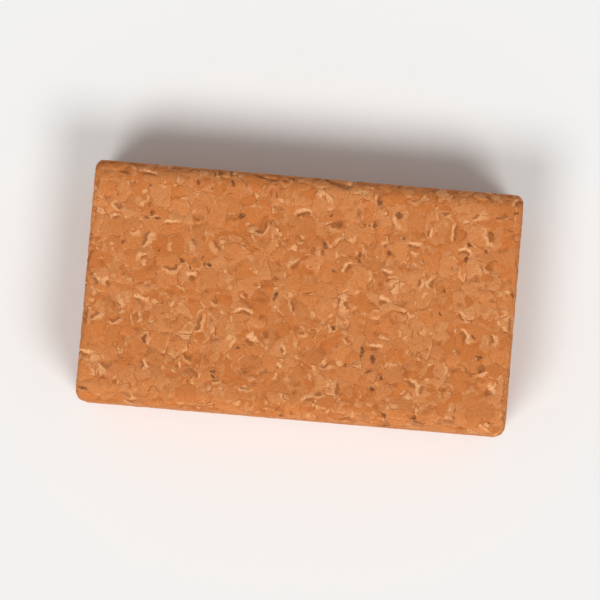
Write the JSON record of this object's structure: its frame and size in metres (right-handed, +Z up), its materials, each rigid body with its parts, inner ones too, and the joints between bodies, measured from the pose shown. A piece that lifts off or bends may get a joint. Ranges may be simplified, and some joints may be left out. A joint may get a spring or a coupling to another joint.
{
  "type": "sanding block",
  "caption": "Rectangular hand sanding block of agglomerated cork with rounded arrises; abrasive paper wraps round its flat sole and is gripped at the sides.",
  "frame": {"origin": "middle of the sole, the flat underside that the block stands on", "axes": "+X along the length, +Y across the width, +Z up through the thickness, from the sole to the palm face"},
  "size_m": [0.11, 0.062, 0.032],
  "materials": {
    "cork": "matte"
  },
  "bodies": {
    "root": {"cork_block": "cork"}
  },
  "joints": []
}
